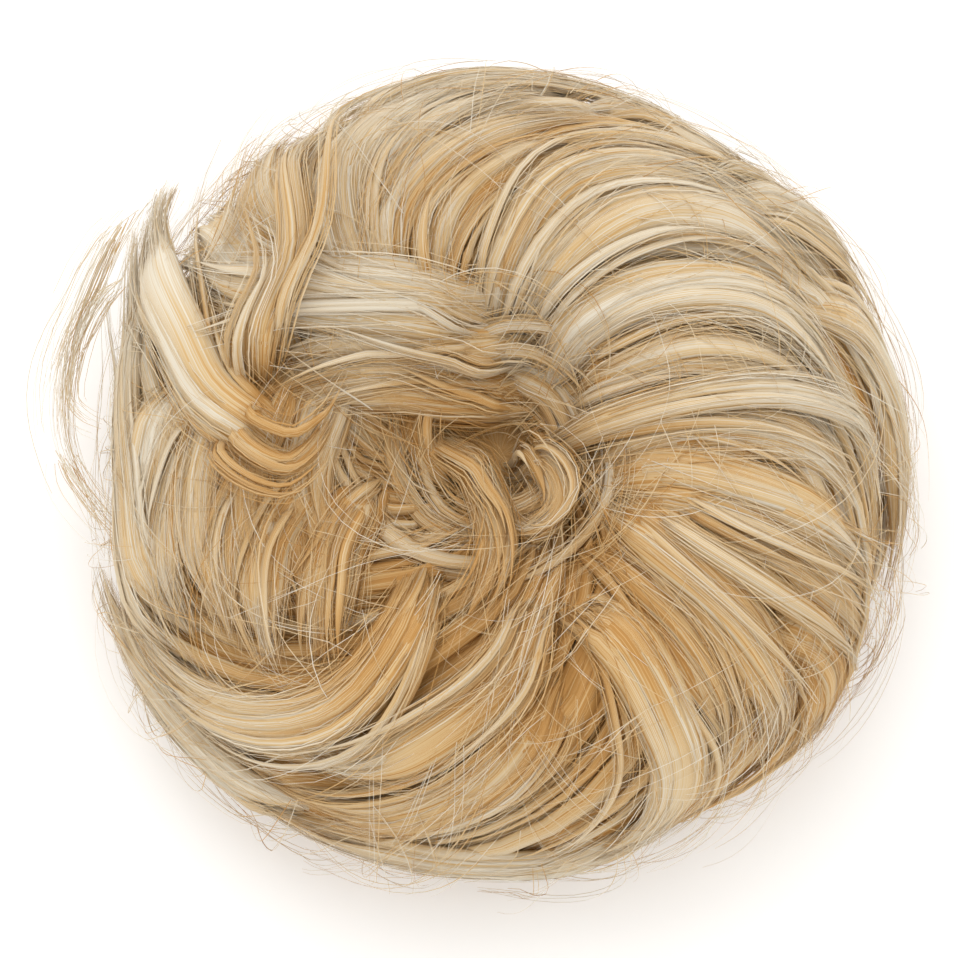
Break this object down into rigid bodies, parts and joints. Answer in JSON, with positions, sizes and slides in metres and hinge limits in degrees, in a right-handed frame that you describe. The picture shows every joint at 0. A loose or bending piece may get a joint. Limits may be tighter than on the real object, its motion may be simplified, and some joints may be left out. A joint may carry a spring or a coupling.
{
  "type": "top knot hairpiece",
  "caption": "Round messy bun of curled false hair locks over a gathered ring of hair on a hidden elastic band, dished on top and flat underneath.",
  "frame": {"origin": "middle of the overall box, on the flat back that it rests on", "axes": "+Z out of the crown, away from the head; +X and +Y to the right and to the top of the bun as it is seen from above"},
  "size_m": [0.148, 0.1404, 0.0568],
  "materials": {
    "pale_hair": "satin",
    "honey_hair": "satin",
    "gold_hair": "satin",
    "taupe_hair": "satin",
    "elastic_cord": "matt knitted cover"
  },
  "bodies": {
    "root": {"elastic_band": "elastic_cord", "hair_ring": "gold_hair", "left_loop": "pale_hair", "bottom_rim_1": "honey_hair", "bottom_rim_2": "pale_hair", "low_rim_1": "gold_hair", "right_rim_2": "taupe_hair", "right_rim_1": "gold_hair", "top_rim_2": "honey_hair", "top_rim_1": "pale_hair", "back_fan_1": "honey_hair", "back_fan_2": "gold_hair", "back_fan_3": "taupe_hair", "top_curl_4": "taupe_hair", "top_curl_3": "gold_hair", "top_curl_2": "honey_hair", "top_curl_1": "pale_hair", "right_curl_8": "gold_hair", "right_curl_7": "honey_hair", "right_curl_6": "gold_hair", "right_curl_5": "pale_hair", "right_curl_4": "honey_hair", "right_curl_3": "pale_hair", "right_curl_2": "pale_hair", "right_curl_1": "honey_hair", "bottom_sweep_2": "taupe_hair", "bottom_sweep_1": "pale_hair", "low_curl_3": "pale_hair", "low_curl_2": "taupe_hair", "low_curl_1": "honey_hair", "slim_lock": "pale_hair", "left_fall_4": "pale_hair", "left_fall_3": "honey_hair", "left_fall_2": "pale_hair", "left_fall_1": "gold_hair", "under_sweep": "honey_hair", "centre_strand": "honey_hair", "ring_curl": "pale_hair", "crossing_lock_3": "gold_hair", "crossing_lock_2": "honey_hair", "crossing_lock_1": "pale_hair", "standing_lock_2": "pale_hair", "standing_lock_1": "pale_hair", "hook_curl": "gold_hair", "upright_strand": "honey_hair"}
  },
  "joints": []
}
